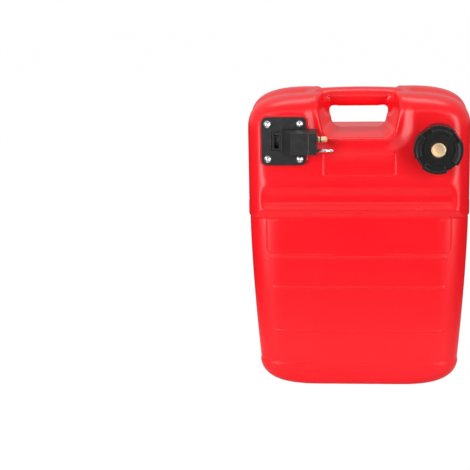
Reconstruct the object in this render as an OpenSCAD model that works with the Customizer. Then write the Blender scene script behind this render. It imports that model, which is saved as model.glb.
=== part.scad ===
// Portable outboard fuel tank, standing upright. Millimetres, +Z up, front face towards -Y.
// The origin is the middle of the flat base.

/* [Tank] */
// Width of the upper section
body_w = 370; // [350:2:390]
// Height over the handle
body_h = 508; // [500:2:520]
// Thickness of the upper section, front to back
body_t = 170; // [160:2:190]
// Wall thickness
wall = 4; // [3:0.5:5]
// Height of the lip where the upper section overhangs the lower panel
lip_z = 305; // [295:1:312]
// Step from the upper section in to the lower panel, front and back
lip_step = 6; // [4:0.5:8]
// Step from the upper section in to the lower panel, each side
side_step = 0.8; // [0.6:0.1:3]
// How much narrower the lower panel gets towards the base, each side
side_taper = 14.6; // [8:0.2:20]
// How much thinner the lower panel gets towards the base, front and back
face_taper = 8; // [4:1:12]
// Width of the rounding of the front and back edges
edge_roll = 34; // [26:1:38]
// Half width of the flat strip along the parting line
parting_strip = 38; // [30:1:44]
// Depth of the groove along the parting line at the shoulders
top_groove = 5; // [3:0.5:6]
// Height of the base band
band_h = 41; // [34:1:44]
// How far the base band stands proud
band_step = 1.5; // [1:0.25:2.5]

/* [Shoulders] */
// Distance from the middle to where the shoulders start to fall
shoulder_x = 70; // [66:1:76]
// How far the shoulders' tops lie below the handle's top
shoulder_low = 5; // [4:0.5:8]
// Height over which the shoulders fall
shoulder_drop = 62; // [58:1:70]
// Roundness of the shoulders
shoulder_power = 2.95; // [2.5:0.05:3.2]
// Depth of the dish around the handle
dish_depth = 8; // [5:0.5:9]
// Half width of the dish around the handle
dish_half_w = 92; // [86:1:96]
// Depth of the band pressed in above the lip
hollow_depth = 5.5; // [3:0.5:6]
// Height of that band's middle above the lip
hollow_rise = 26; // [24:1:34]

/* [Handle] */
// Half width of the hand hole at its floor, at the parting line
hole_half_w = 43.5; // [41:0.5:46]
// Height of the hand hole
hole_h = 38; // [36:1:42]
// How much wider the hole gets towards the front and back faces, each side
hole_flare = 12.5; // [8:0.5:14]
// How far the floor of the hole falls towards the front and back faces
hole_fall = 4; // [2:0.5:6]
// Height of the handle bar
bar_h = 30; // [26:1:32]
// Depth of the handle bar, front to back
bar_t = 44; // [38:1:48]
// How much thicker the bar is at its ends
bar_collar = 2; // [1:0.25:3]

/* [Ribs] */
// Heights of the ribs on the lower panel
rib_z = [234, 177.5, 99.5];
// Half length of the highest rib
rib_half_w = 148; // [130:1:152]
// Height of a rib's cross-section
rib_h = 4; // [2:0.5:6]
// How far a rib stands out
rib_out = 1.6; // [1:0.1:2.5]

/* [Filler] */
// Place of the filler neck
neck_x = 129; // [122:1:132]
// Distance of the filler neck below the top
neck_drop = 87; // [84:1:96]
// Outer radius of the neck
neck_r = 33; // [31:0.5:34]
// Wall of the neck
neck_wall = 5; // [4:0.5:6]
// Length of the neck
neck_h = 20; // [19:0.5:22]
// Thread pitch
pitch = 6; // [5.8:0.1:6.2]
// Depth of the thread
thread_d = 2; // [1.6:0.1:2.1]
// Width of a thread at its root
thread_w = 3; // [2.6:0.1:3.1]
// Clearance between the neck's thread and the cap
thread_gap = 0.6; // [0.5:0.05:0.8]
// Thickness of the cap's sealing ring
gasket_t = 2.5; // [2:0.25:3]
// Radius over the cap's grip lugs
cap_r = 40.3; // [40:0.1:42]
// Height of the cap's front edge over its sealing ring
cap_top_h = 10.5; // [9:0.5:12]
// Thickness of the cap's top
cap_top_t = 4.5; // [4:0.25:5.5]
// Radius of the dish in the cap
cap_dish_r = 28.5; // [26:0.5:30]
// Number of grip lugs
lugs = 4; // [3:1:5]
// Angle that a lug spans
lug_angle = 62; // [50:1:66]
// Angle of the first lug
lug_turn = 80; // [0:1:90]
// Radius of the vent screw's head
vent_head_r = 12; // [10:0.5:13]
// Height of the vent screw's head
vent_head_h = 6; // [4:0.5:7]
// Radius of the vent screw's stem
vent_r = 4; // [3:0.25:5]
// Thickness of the vent's sealing ring
vent_seal_t = 1.5; // [1:0.25:2]

/* [Gauge flange] */
// Place of the flange
port_x = -123; // [-125:1:-121]
// Distance of the flange below the top
port_drop = 76.5; // [74:0.5:78]
// Width of the flange plate
plate_w = 74; // [72:1:76]
// Height of the flange plate
plate_h = 80; // [78:1:82]
// Thickness of the flange plate
plate_t = 4; // [3.5:0.25:5]
// Corner radius of the flange plate
plate_r = 9; // [6:1:11]
// Thickness of the flange gasket
flange_gasket_t = 2; // [1.5:0.25:3]
// Distance between the screws across the flange
screw_dx = 53; // [52:0.5:54]
// Distance between the screws up the flange
screw_dz = 58; // [57:0.5:59]
// Radius of a flange screw's shank
screw_r = 3; // [2.5:0.1:3.2]
// Radius of a flange screw's head
head_r = 6; // [5.6:0.1:6.4]
// Radius of the port in the tank
port_r = 28; // [27.5:0.25:28.5]
// Length of the connector block beyond its sloping face
block_l = 42; // [38:1:44]
// Height of the connector block
block_h = 36; // [34:1:38]
// How far the connector block stands over the tank
block_out = 32.5; // [31:0.5:34]
// Length of the sloping face in front of the gauge
slope_l = 16; // [14:1:17]
// Width of the gauge slot
slot_w = 6.3; // [5:0.1:7]
// Height of the gauge slot
slot_h = 24; // [20:1:25]

/* [Fuel fittings] */
// Radius of the fuel nipple
nipple_r = 4.65; // [4.2:0.05:5]
// Length of the nipple beyond the block
nipple_l = 17; // [15:0.5:19]
// Height of the nipple over the middle of the flange
nipple_dz = 5.7; // [5:0.1:7]
// Radius of the locating pin
pin_r = 2.3; // [2:0.1:2.6]
// Length of the locating pin beyond the block
pin_l = 27.4; // [24:0.2:30]
// Height of the locating pin below the middle of the flange
pin_dz = 13.2; // [12:0.1:14]
// Radius of the fuel passage
passage_r = 2.6; // [2.4:0.1:2.8]
// Travel of the nipple's valve
valve_travel = 3; // [2:0.25:3.5]
// Outer radius of the pick-up tube
tube_r = 5; // [4:0.25:5.5]
// Wall of the pick-up tube
tube_wall = 1.5; // [1:0.25:2]
// Gap between the pick-up strainer and the back wall
tube_gap = 4; // [3:0.5:8]

/* [Gauge] */
// Radius of the indicator drum
drum_r = 15; // [14:0.25:15.25]
// Width of the indicator drum
drum_w = 9; // [7:0.5:10]
// Distance from the pivot to the float's middle
arm_l = 136; // [120:2:140]
// Angle of the arm from straight down when the tank is full
arm_angle = 8.4; // [8:0.1:10]
// Radius of the arm's wire
arm_r = 1.5; // [1.2:0.1:1.8]
// Radius of the float
float_r = 16; // [12:0.5:17]
// Length of the float
float_l = 40; // [30:1:42]
// Radius of the pivot pin
pivot_r = 1.5; // [1.2:0.1:1.8]

/* [Fits] */
// Clearance around a pin that something turns or slides on
run_fit = 0.06; // [0.03:0.01:0.09]
// Clearance around a piece that is fixed in a hole
fixed_fit = 0.05; // [0.02:0.01:0.1]

/* [Hidden] */

neck_z = body_h - neck_drop;
port_z = body_h - port_drop;
half_w = body_w / 2;
half_t = body_t / 2;
pad_out = 0.5;                        // the flange's pad stands this far over the face
face = half_t + pad_out;              // plane of the pad
shoulder_top = body_h - shoulder_low;
shoulder_z = shoulder_top - shoulder_drop;
shoulder_w = half_w - shoulder_x;
bar_z = body_h - bar_h / 2;
floor_z = body_h - bar_h - hole_h;    // floor of the hand hole at the parting line
hollow_z = lip_z + hollow_rise;
hollow_half_h = 19;
hole_slope = 0.18;                    // lean of the hole's sides at the parting line
flare_slope = 0.21;                   // the same at the faces
hole_r = 14;
flare_t = half_t - 9;                 // depth at which the hole has its full flare
segs = 30;                            // thread steps in a turn

// ---- shapes shared by the pieces ----

function clamp(v) = min(1, max(0, v));
function smooth(v) = let (c = clamp(v)) c * c * (3 - 2 * c);
function mix(a, b, t) = a + (b - a) * t;

// Puts its children on the front face at [x, z], with their +Z pointing out of the tank.
module on_front(x, z) translate([x, -face, z]) rotate([90, 0, 0]) children();

// Turns its children to point along +X from [x, out, z], where out is measured from the face.
module along_x(x, out, z) translate([x, -face - out, z]) rotate([0, 90, 0]) children();

module round_plate(w, h, r, t) linear_extrude(t) {
  square([w - 2 * r, h], center = true);
  square([w, h - 2 * r], center = true);
  for (sx = [-1, 1], sy = [-1, 1]) translate([sx * (w / 2 - r), sy * (h / 2 - r)]) circle(r, $fn = 48);
}

module tube(ro, ri, h) difference() {
  cylinder(r = ro, h = h, $fn = 96);
  translate([0, 0, -1]) cylinder(r = ri, h = h + 2, $fn = 96);
}

module at_screws() for (sx = [-1, 1], sy = [-1, 1])
  translate([sx * screw_dx / 2, sy * screw_dz / 2, 0]) children();

// A closed solid through a list of rings that all have the same number of points.
function ring_faces(rows, n) = concat(
  [for (j = [0:rows - 2]) for (i = [0:n - 1]) let (k = (i + 1) % n)
    each [[j * n + i, (j + 1) * n + i, (j + 1) * n + k], [j * n + i, (j + 1) * n + k, j * n + k]]],
  [for (i = [0:n - 1]) [rows * n, i, (i + 1) % n]],
  [for (i = [0:n - 1]) [rows * n + 1, (rows - 1) * n + (i + 1) % n, (rows - 1) * n + i]]);
function middle(ring) = ring * [for (p = ring) 1] / len(ring);
function mean(ring) = [for (a = [0:2]) [for (p = ring) p[a]] * [for (p = ring) 1] / len(ring)];
module loft(rings) polyhedron(
  [for (r = rings) each r, mean(rings[0]), mean(rings[len(rings) - 1])],
  ring_faces(len(rings), len(rings[0])), convexity = 6);

// A ring at height z: a rectangle from x0 to x1 and of half depth d, with rounded corners.
corner_steps = 6;
side_steps = 4;
function quarter(cx, cy, rx, ry, a0) = [for (i = [0:corner_steps])
  let (a = a0 + 90 * i / corner_steps) [cx + rx * cos(a), cy + ry * sin(a)]];
function round_ring(x0, x1, d, rx, ry, z) = let (
  q = [quarter(x1 - rx, -d + ry, rx, ry, 270), quarter(x1 - rx, d - ry, rx, ry, 0),
       quarter(x0 + rx, d - ry, rx, ry, 90), quarter(x0 + rx, -d + ry, rx, ry, 180)],
  line = function (a, b) [for (i = [1:side_steps - 1]) mix(a, b, i / side_steps)])
  [for (k = [0:3]) each [for (p = concat(q[k], line(q[k][corner_steps], q[(k + 1) % 4][0]))) [p.x, p.y, z]]];

// ---- tank ----

// Distance from [x, z] in to the outline of the upper section.
function ray(u, v) = pow(pow(u / shoulder_w, shoulder_power) + pow(v / shoulder_drop, shoulder_power),
  1 / shoulder_power);
function edge_d(x, z) = let (u = max(0, abs(x) - shoulder_x), v = max(0, z - shoulder_z), r = ray(u, v))
  r < 0.05 ? edge_roll * 2 : norm([u, v]) * (1 / r - 1);
function top_of(x) = let (u = max(0, abs(x) - shoulder_x))
  shoulder_z + shoulder_drop * pow(max(0, 1 - pow(u / shoulder_w, shoulder_power)), 1 / shoulder_power);
function out_of(z) = let (v = max(0, z - shoulder_z))
  shoulder_x + shoulder_w * pow(max(0, 1 - pow(v / shoulder_drop, shoulder_power)), 1 / shoulder_power);
function rolled(d) = parting_strip + (half_t - parting_strip)
  * pow(1 - pow(1 - clamp(d / edge_roll), 2.3), 1 / 2.3);
// How far the front face is pressed in: the dish around the handle and the band above the lip.
function dish(x, z) = dish_depth * smooth((dish_half_w - abs(x)) / 20) * smooth((z - floor_z + 25) / 20);
function hollow(x, z) = hollow_depth * (0.5 + 0.5 * cos(180 * clamp(abs(z - hollow_z) / hollow_half_h)))
  * smooth((half_w - 20 - abs(x)) / 16);
function lip_round(z) = 2 * pow(1 - clamp((z - lip_z) / 5), 2);
function front_depth(x, z) = rolled(edge_d(x, z)) - dish(x, z) - hollow(x, z) - lip_round(z);
function back_depth(x, z) = rolled(edge_d(x, z)) - dish(x, z) - lip_round(z);

// Columns and rows of the upper section's surface, closer together where it bends.
half_columns = [for (x = [0, 30, 56, 68, 74, 80, 86, 92, 104, 122]) x,
                for (k = [9:-1:0]) half_w - edge_roll * 1.15 * pow(k / 9, 2)];
columns = concat([for (i = [len(half_columns) - 1:-1:1]) -half_columns[i]], half_columns);
roll_rows = [0, 1.2, 4, 9, 16, 25, edge_roll + 1];
face_rows = [for (k = [-3:5]) hollow_z + k * hollow_half_h / 3.2 * (k < 0 ? -1 : 1)];
low_rows = [for (k = [0:8]) mix(hollow_z + hollow_half_h + 6, hollow_z - hollow_half_h + 3, k / 8)];
function row_heights(x) = let (t = top_of(x), low = t - roll_rows[len(roll_rows) - 1]) concat(
  [for (s = roll_rows) t - s],
  [for (k = [1:2]) mix(low, low_rows[0], k / 3)], low_rows, [lip_z + 5, lip_z + 1.6, lip_z]);

function groove_at(x, z) = top_groove * smooth((abs(x) - shoulder_x - 6) / 16) * smooth((z - shoulder_z) / 30);
function outward(x, z) = let (
  gx = pow(max(0, abs(x) - shoulder_x) / shoulder_w, shoulder_power - 1) / shoulder_w,
  gz = pow(max(0, z - shoulder_z) / shoulder_drop, shoulder_power - 1) / shoulder_drop,
  n = norm([gx, gz])) n == 0 ? [0, 1] : [sign(x) * gx / n, gz / n];

module upper_section() {
  nx = len(columns);
  grid = [for (x = columns) row_heights(x)];
  nz = len(grid[0]);
  front = [for (i = [0:nx - 1]) for (z = grid[i]) [columns[i], -front_depth(columns[i], z), z]];
  back = [for (p = front) [p.x, back_depth(p.x, p.z), p.z]];
  // the outline from the lower left, over the top, to the lower right
  rim = concat([for (j = [nz - 1:-1:1]) j], [for (i = [0:nx - 1]) i * nz],
               [for (j = [1:nz - 1]) (nx - 1) * nz + j]);
  nr = len(rim);
  n = nx * nz;
  groove = [for (k = rim) let (p = front[k], o = outward(p.x, p.z), g = groove_at(p.x, p.z))
    [p.x - g * o.x, 0, p.z - g * o.y]];
  polyhedron(concat(front, back, groove), concat(
    [for (i = [0:nx - 2]) for (j = [0:nz - 2]) let (a = i * nz + j, b = a + nz)
      each [[a, b, b + 1], [a, b + 1, a + 1], [n + a, n + b + 1, n + b], [n + a, n + a + 1, n + b + 1]]],
    [for (k = [0:nr - 2]) let (a = rim[k], b = rim[k + 1], c = 2 * n + k)
      each [[a, c + 1, b], [a, c, c + 1], [c, n + b, c + 1], [c, n + a, n + b]]],
    // the underside of the lip
    [for (i = [0:nx - 2]) let (a = i * nz + nz - 1, b = a + nz)
      each (i == 0 ? [[a, b, 2 * n], [2 * n, b, n + b], [2 * n, n + b, n + a]]
        : i == nx - 2 ? [[a, b, 2 * n + nr - 1], [a, 2 * n + nr - 1, n + a], [2 * n + nr - 1, n + b, n + a]]
        : [[a, b, n + b], [a, n + b, n + a]])]), convexity = 8);
}

// Space of the hand hole: a notch that widens and falls towards the front and back faces.
function notch_ring(y) = let (t = clamp(abs(y) / flare_t), s = mix(hole_slope, flare_slope, t),
    w = hole_half_w + hole_flare * t, f = floor_z - hole_fall * t, top = body_h + 30,
    side = [for (i = [0:5]) let (a = -90 + 84 * i / 5)
      [w - hole_r + hole_r * cos(a), f + hole_r + hole_r * sin(a)]])
  concat([for (p = side) [p.x, y, p.y]], [[w + s * (top - f), y, top], [-w - s * (top - f), y, top]],
    [for (i = [5:-1:0]) [-side[i].x, y, side[i].y]]);
module notch() loft([for (y = [half_t + 20, flare_t, 0, -flare_t, -half_t - 20]) notch_ring(y)]);

// The handle bar, which runs into the shoulders at both ends.
bar_end = hole_half_w + 42.5;
bar_sink_at = hole_half_w + 24.5;     // from here out the bar sinks into the shoulder
function bar_ring(x) = let (u = abs(x), c = bar_collar * smooth((u - hole_half_w - 5) / 8),
    sink = (shoulder_low + 4) * smooth((u - bar_sink_at) / 18),
    top = body_h - 1.5 * pow(min(u, 70) / 57, 2) - sink, low = body_h - bar_h + 0.6 - sink,
    a = bar_t / 2 - bar_collar + c)
  [for (i = [0:19]) let (t = 360 * i / 20, n = 2 / 2.4)
    [x, a * sign(cos(t)) * pow(abs(cos(t)), n),
     (top + low) / 2 + (top - low) / 2 * sign(sin(t)) * pow(abs(sin(t)), n)]];
half_bar = [for (x = [0, 14, 26, 36, 43, 49, 54, 59, 65, 70, 75, 80, 86]) x / 86 * bar_end];
module bar() loft([for (x = concat([for (i = [12:-1:1]) -half_bar[i]], half_bar)) bar_ring(x)]);

// Half width and half depth of the lower section's outside at height z.
function low_w(z) = half_w - side_step - side_taper * pow(clamp((lip_z - z) / (lip_z - band_h)), 1.6);
function low_t(z) = half_t - lip_step - face_taper * clamp((lip_z - z) / (lip_z - band_h));
base_corner = 50;
base_roll = 14;
function base_in(s, r) = r * (1 - sqrt(1 - pow(1 - clamp(s), 2)));
function base_w(z) = low_w(band_h) + 0.4 * band_step - base_in(z / band_h, base_corner);
function base_t(z) = low_t(band_h) + band_step - base_in(z / band_h, base_roll);
corner_x = 34;
corner_y = 38;
function low_ring(z, w, t) = round_ring(-w, w, t, corner_x, corner_y, z);
module lower_section() loft(concat(
  [for (k = [0:5]) let (z = band_h * (1 - cos(90 * k / 5))) low_ring(z, base_w(z), base_t(z))],
  [low_ring(band_h + 1, low_w(band_h), low_t(band_h))],
  [for (k = [1:6]) let (z = mix(band_h, lip_z, k / 6)) low_ring(z, low_w(z), low_t(z))], [
   low_ring(lip_z + 18, low_w(lip_z) - 2, low_t(lip_z) - 2)]));

module ribs() for (i = [0:len(rib_z) - 1]) let (z = rib_z[i], l = rib_half_w - i * 3,
    lean = atan(face_taper / (lip_z - band_h)))
  for (dz = i == 0 ? [-rib_h * 0.75, rib_h * 0.75] : [0])
    translate([-l, -low_t(z + dz), z + dz]) rotate([-lean, 0, 0]) rotate([90, 0, 90])
      linear_extrude(2 * l) polygon([[1, -rib_h / 2], [-rib_out, -0.2 * rib_h], [-rib_out, 0.1 * rib_h],
                                     [1, rib_h / 2]]);

// The inside of the tank: one space up to the hand hole, and one in each shoulder.
low_floor = wall + 0.5;
main_top = floor_z - hole_fall - wall - 1;
module main_space() loft(concat(
  [for (z = [low_floor, 8, 16, band_h])
    low_ring(z, base_w(z - wall) - wall - band_step, base_t(z - wall) - wall - band_step)],
  [for (k = [1:2]) let (z = mix(band_h, lip_z, k / 3)) low_ring(z, low_w(z) - wall, low_t(z) - wall)],
  [low_ring(lip_z - 4, low_w(lip_z) - wall, low_t(lip_z) - wall),
   low_ring(lip_z + 14, half_w - wall, half_t - hollow_depth - wall),
   low_ring(floor_z - 32, half_w - wall, half_t - hollow_depth - wall),
   low_ring(floor_z - 22, half_w - wall - 0.5, half_t - dish_depth - wall - 1),
   low_ring(main_top - 5, half_w - wall - 1.5, half_t - dish_depth - wall - 2),
   low_ring(main_top, half_w - wall - 14, half_t - dish_depth - wall - 12)]));
shoulder_in = 6;                      // how far the shoulder spaces keep from the hand hole
function shoulder_inner(z) = hole_half_w + hole_flare + flare_slope * (z - floor_z + hole_fall) + shoulder_in;
module shoulder_space(s) loft([for (z = [floor_z - 26, floor_z, floor_z + 20, floor_z + 32, floor_z + 42,
                                         shoulder_top - top_groove - wall - 9])
  let (a = shoulder_inner(z), b = out_of(z + wall + top_groove) - wall,
       g = min(rolled(shoulder_top - z - wall - 2) - wall, half_t - dish_depth - wall - 3),
       r = min(26, (b - a) / 2 - 2))
  round_ring(s > 0 ? a : -b, s > 0 ? b : -a, g, r, 30, z)]);

boss_l = 14;
insert_l = 11;
insert_r = screw_r + 1.5;
module tank_shell() color("red") difference() {
  union() {
    difference() {
      union() {
        difference() {
          upper_section();
          notch();
        }
        lower_section();
        bar();
        ribs();
      }
      main_space();
      shoulder_space(1);
      shoulder_space(-1);
    }
    on_front(neck_x, neck_z) {
      translate([0, 0, -12]) cylinder(r = neck_r, h = 12 + neck_h, $fn = 96);
      translate([0, 0, -6]) cylinder(r = neck_r + 5, h = 9, $fn = 96);
      translate([0, 0, neck_h - 13.5]) thread(neck_r, thread_d, 1.5);
    }
    on_front(port_x, port_z) {
      translate([0, 0, -12]) round_plate(plate_w + 4, plate_h + 4, plate_r + 2, 12);
      at_screws() translate([0, 0, -boss_l]) cylinder(r = insert_r + 2.5, h = boss_l - 1, $fn = 48);
    }
  }
  on_front(neck_x, neck_z) translate([0, 0, -30]) cylinder(r = neck_r - neck_wall, h = 60, $fn = 96);
  on_front(port_x, port_z) {
    translate([0, 0, -30]) cylinder(r = port_r, h = 40, $fn = 96);
    at_screws() translate([0, 0, -insert_l - 1]) cylinder(r = insert_r + fixed_fit, h = insert_l + 2, $fn = 48);
  }
}

// A thread ridge: positive depth stands out from the radius r, negative depth stands in from it.
module thread(r, depth, turns) {
  n = round(segs * turns);
  sink = depth > 0 ? -0.5 : 0.5;
  function cut(i) = let (a = 360 * i / segs, z = pitch * i / segs, k = smooth(min(i, n - i) / 4 + 0.12),
      d = r + depth * k, w0 = thread_w / 2 + 0.2, w1 = thread_w * 0.3,
      p = [[r + sink, z - w0], [d, z - w1], [d, z + w1], [r + sink, z + w0]])
    [for (q = depth > 0 ? [p[3], p[2], p[1], p[0]] : p) [q[0] * cos(a), q[0] * sin(a), q[1]]];
  loft([for (i = [0:n]) cut(i)]);
}

// ---- filler cap ----

seal_at = neck_h;                     // the neck's end, where the ring seals
ceiling = seal_at + gasket_t;
cap_floor = ceiling + cap_top_t;
cap_edge = ceiling + cap_top_h;
skirt_r = cap_r - 2.6;
cap_bore = neck_r + thread_d + thread_gap;
lug_inner = cap_dish_r;
vent_boss_r = vent_r + 7;
vent_boss_l = 9.5;

// One turned wall holds the skirt, the top and the boss around the vent.
module cap_wall() rotate_extrude($fn = 96) polygon([
  [cap_bore, 4], [skirt_r - 0.6, 4], [skirt_r, 4.6], [skirt_r, cap_edge - 3], [skirt_r - 1, cap_edge - 2],
  [skirt_r - 2.5, cap_edge - 2], [skirt_r - 2.5, cap_floor], [vent_r + run_fit, cap_floor],
  [vent_r + run_fit, ceiling - vent_boss_l], [vent_boss_r, ceiling - vent_boss_l],
  [vent_boss_r, ceiling], [cap_bore, ceiling]]);

module lug() rotate([0, 0, -lug_angle / 2]) rotate_extrude(angle = lug_angle, $fn = 96) polygon([
  [skirt_r - 1.5, 7], [cap_r - 0.6, 7], [cap_r, 9], [cap_r, cap_edge - 1.5], [cap_r - 1.5, cap_edge],
  [lug_inner + 1, cap_edge], [lug_inner, cap_edge - 1], [lug_inner, cap_floor - 1], [skirt_r - 1.5, cap_floor - 1]]);

module filler_cap() color("#1c1c1e") on_front(neck_x, neck_z) {
  cap_wall();
  for (k = [0:lugs - 1]) rotate([0, 0, lug_turn + 360 / lugs * k]) lug();
  translate([0, 0, neck_h - 13.5 + pitch / 2]) thread(cap_bore, -thread_d + 0.1, 1.25);
}

module filler_gasket() color("#2b2b2b") on_front(neck_x, neck_z)
  translate([0, 0, seal_at]) tube(neck_r + 1, neck_r - neck_wall - 1, gasket_t);

module vent_screw() color("#c9a64a") on_front(neck_x, neck_z) translate([0, 0, cap_floor + vent_seal_t]) {
  difference() {
    union() {
      cylinder(r = vent_head_r, h = vent_head_h - 0.8, $fn = 96);
      translate([0, 0, vent_head_h - 0.8]) cylinder(r1 = vent_head_r, r2 = vent_head_r - 0.8, h = 0.8, $fn = 96);
    }
    for (k = [0:35]) rotate([0, 0, k * 10]) translate([vent_head_r + 0.25, 0, 0.8])
      cylinder(r = 0.7, h = vent_head_h - 2.2, $fn = 24);
  }
  difference() {
    translate([0, 0, -vent_seal_t - cap_top_t - vent_boss_l - 3])
      cylinder(r = vent_r, h = vent_seal_t + cap_top_t + vent_boss_l + 4, $fn = 64);
    translate([vent_r - 1, -0.8, -vent_seal_t - cap_top_t - vent_boss_l - 4]) cube([3, 1.6, 16]);
  }
}

module vent_seal() color("#111111") on_front(neck_x, neck_z)
  translate([0, 0, cap_floor]) tube(vent_r + 4.5, vent_r + 0.4, vent_seal_t);

// ---- gauge flange ----

plate_at = flange_gasket_t;
plate_top = plate_at + plate_t;
spigot_r = port_r - 1;
spigot_at = -8;
slot_x = -11.4;                       // the gauge slot's place on the flange
slot_z = 1.3;
window_w = slot_w + 8;
window_h = slot_h + 8;
chamber_w = drum_w + 4;
drum_top = 1.2;                       // the drum's rim, just behind the lens
lens_t = 2;
lens_at = drum_top + 0.3;
drum_axis = drum_top - drum_r;
slope_x = -3;                         // where the sloping face starts on the flange
block_x = slope_x + slope_l;
block_end = block_x + block_l;
bore_out = plate_top + (block_out - plate_top) * 0.47;
tube_x = 11;                          // the pick-up tube's place on the flange
socket_l = 12;

module flange_outline(t) round_plate(plate_w, plate_h, plate_r, t);

module gauge_flange() color("#232427") difference() {
  union() {
    on_front(port_x, port_z) {
      translate([0, 0, plate_at]) flange_outline(plate_t);
      translate([0, 0, spigot_at]) cylinder(r = spigot_r, h = plate_at - spigot_at + 1, $fn = 96);
      translate([tube_x, nipple_dz, spigot_at - socket_l]) cylinder(r = tube_r + 2, h = socket_l + 1, $fn = 48);
      hull() {
        translate([slope_x, -block_h / 2 - 3, plate_top - 0.5]) cube([block_end - slope_x, block_h + 6, 0.5]);
        translate([block_x, -block_h / 2, block_out - 0.5]) cube([block_l, block_h, 0.5]);
      }
    }
  }
  on_front(port_x, port_z) {
    at_screws() translate([0, 0, plate_at - 1]) cylinder(r = screw_r + 0.3, h = plate_t + 2, $fn = 48);
    at_screws() translate([0, 0, plate_top]) cylinder(r = head_r + 0.8, h = 12, $fn = 48);
    translate([slot_x, slot_z, 0]) {
      translate([-window_w / 2 - 2, -window_h / 2, plate_top - 1.5]) cube([window_w, window_h, 30]);
      translate([-slot_w / 2, -slot_h / 2, 0]) cube([slot_w, slot_h, 30]);
      translate([-chamber_w / 2, -drum_r - 1, spigot_at - 2]) cube([chamber_w, 2 * drum_r + 2, lens_at + lens_t - spigot_at + 2]);
    }
    translate([tube_x, nipple_dz, spigot_at - socket_l - 1])
      cylinder(r = tube_r + fixed_fit, h = socket_l + 4, $fn = 48);
    translate([tube_x, nipple_dz, spigot_at]) cylinder(r = passage_r, h = bore_out - spigot_at, $fn = 48);
    bracket_places() translate([0, 0, spigot_at - 1]) cylinder(r = bracket_screw_r + fixed_fit, h = 6, $fn = 32);
  }
  along_x(port_x + tube_x - passage_r / 2, bore_out, port_z + nipple_dz) cylinder(r = passage_r, h = 60, $fn = 48);
  along_x(port_x + block_end - shank_l - 1, bore_out, port_z + nipple_dz)
    cylinder(r = shank_r + fixed_fit, h = 40, $fn = 48);
  along_x(port_x + block_end - shank_l - 1, bore_out, port_z - pin_dz)
    cylinder(r = pin_r - 0.4 + fixed_fit, h = 40, $fn = 48);
}

module flange_gasket() color("#303030") on_front(port_x, port_z) difference() {
  flange_outline(flange_gasket_t);
  translate([0, 0, -1]) cylinder(r = port_r, h = flange_gasket_t + 2, $fn = 96);
  at_screws() translate([0, 0, -1]) cylinder(r = screw_r + 0.3, h = flange_gasket_t + 2, $fn = 48);
}

screw_l = 17;
module flange_screws() color("#d8d8da") on_front(port_x, port_z) at_screws() difference() {
  union() {
    translate([0, 0, plate_top]) rotate_extrude($fn = 64)
      polygon([[0, 0], [head_r, 0], [head_r, 1.6], [head_r - 0.5, 2.6], [head_r - 1.5, 3.5],
               [head_r - 3, 4.1], [0, 4.4]]);
    translate([0, 0, plate_top - screw_l + 1]) cylinder(r = screw_r - fixed_fit, h = screw_l - 0.5, $fn = 48);
  }
  for (a = [45, 135]) rotate([0, 0, a]) translate([-3.2, -0.7, plate_top + 2.2]) cube([6.4, 1.4, 4]);
}

module screw_inserts() color("#b8913d") on_front(port_x, port_z) at_screws()
  translate([0, 0, -insert_l - 0.5]) tube(insert_r, screw_r, insert_l);

module gauge_lens() color("#cfd6da", 0.5) on_front(port_x, port_z)
  translate([slot_x - chamber_w / 2 + 0.2, slot_z - drum_r - 0.8, lens_at])
    cube([chamber_w - 0.4, 2 * drum_r + 1.6, lens_t]);

// ---- fuel nipple and locating pin ----

shank_r = nipple_r - 0.7;
shank_l = 12;
collar_l = 5;
seal_groove = 1.6;
seal_r = 0.8;
lip_t = 1;
lip_r = passage_r - 0.7;
spring_at = -4;                       // the shoulder that the valve spring rests on
poppet_l = 5;
poppet_at = nipple_l - lip_t - 0.1 - poppet_l;

module at_nipple() along_x(port_x + block_end, bore_out, port_z + nipple_dz) children();

module fuel_nipple() color("#c7a24b") at_nipple() difference() {
  union() {
    translate([0, 0, -shank_l]) cylinder(r = shank_r, h = shank_l + 1, $fn = 48);
    cylinder(r = nipple_r, h = collar_l, $fn = 64);
    translate([0, 0, collar_l - 0.5]) cylinder(r = nipple_r - 1.2, h = seal_groove + 1, $fn = 64);
    translate([0, 0, collar_l + seal_groove]) cylinder(r = nipple_r, h = nipple_l - collar_l - seal_groove - 1.5, $fn = 64);
    translate([0, 0, nipple_l - 1.5]) cylinder(r1 = nipple_r, r2 = nipple_r - 1.2, h = 1.5, $fn = 64);
  }
  translate([0, 0, spring_at]) cylinder(r = passage_r, h = nipple_l - lip_t - spring_at, $fn = 48);
  translate([0, 0, -20]) cylinder(r = lip_r - 0.3, h = 21, $fn = 48);
  translate([0, 0, 10]) cylinder(r = lip_r, h = 20, $fn = 48);
}

module nipple_seal() color("#111111") at_nipple() translate([0, 0, collar_l + seal_groove / 2])
  rotate_extrude($fn = 64) translate([nipple_r - 1.15 + seal_r, 0]) circle(seal_r - 0.02, $fn = 32);

module nipple_poppet() color("#d9d9d9") at_nipple() {
  translate([0, 0, poppet_at]) cylinder(r = passage_r - 0.1, h = poppet_l, $fn = 48);
  translate([0, 0, poppet_at + poppet_l - 0.5]) cylinder(r = lip_r - 0.2, h = 1.9, $fn = 48);
}

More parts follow.
